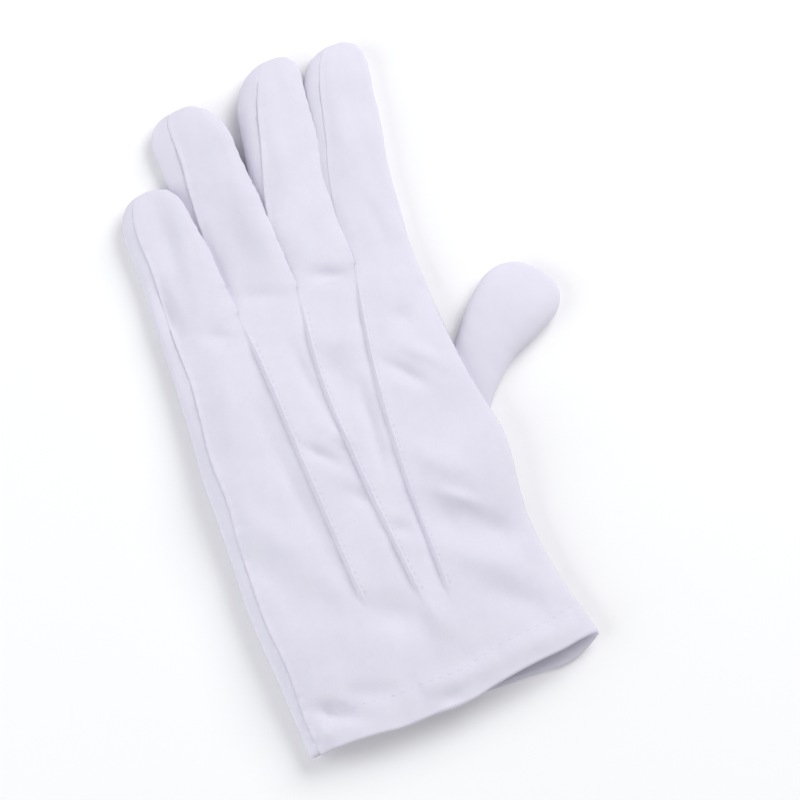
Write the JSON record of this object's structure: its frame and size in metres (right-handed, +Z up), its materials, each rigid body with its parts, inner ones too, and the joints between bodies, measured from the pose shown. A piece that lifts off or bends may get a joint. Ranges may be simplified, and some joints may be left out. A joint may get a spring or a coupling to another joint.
{
  "type": "white parade glove",
  "caption": "Left-hand white cotton dress glove lying palm down, with raised pin tucks on the back, side gussets between the fingers and a set-in thumb.",
  "frame": {"origin": "the middle of the glove's footprint, on the surface that it lies on", "axes": "+Y from the cuff to the fingertips, +X towards the thumb, +Z up out of the back of the hand"},
  "size_m": [0.1506, 0.2446, 0.0183],
  "materials": {
    "white_cotton": "matt cotton knit with a soft sheen",
    "sewing_thread": "white cotton thread"
  },
  "bodies": {
    "root": {"back_panel": "white_cotton", "palm_panel": "white_cotton", "thumb": "white_cotton", "gusset_little_ring": "white_cotton", "gusset_ring_middle": "white_cotton", "gusset_middle_index": "white_cotton"}
  },
  "joints": []
}
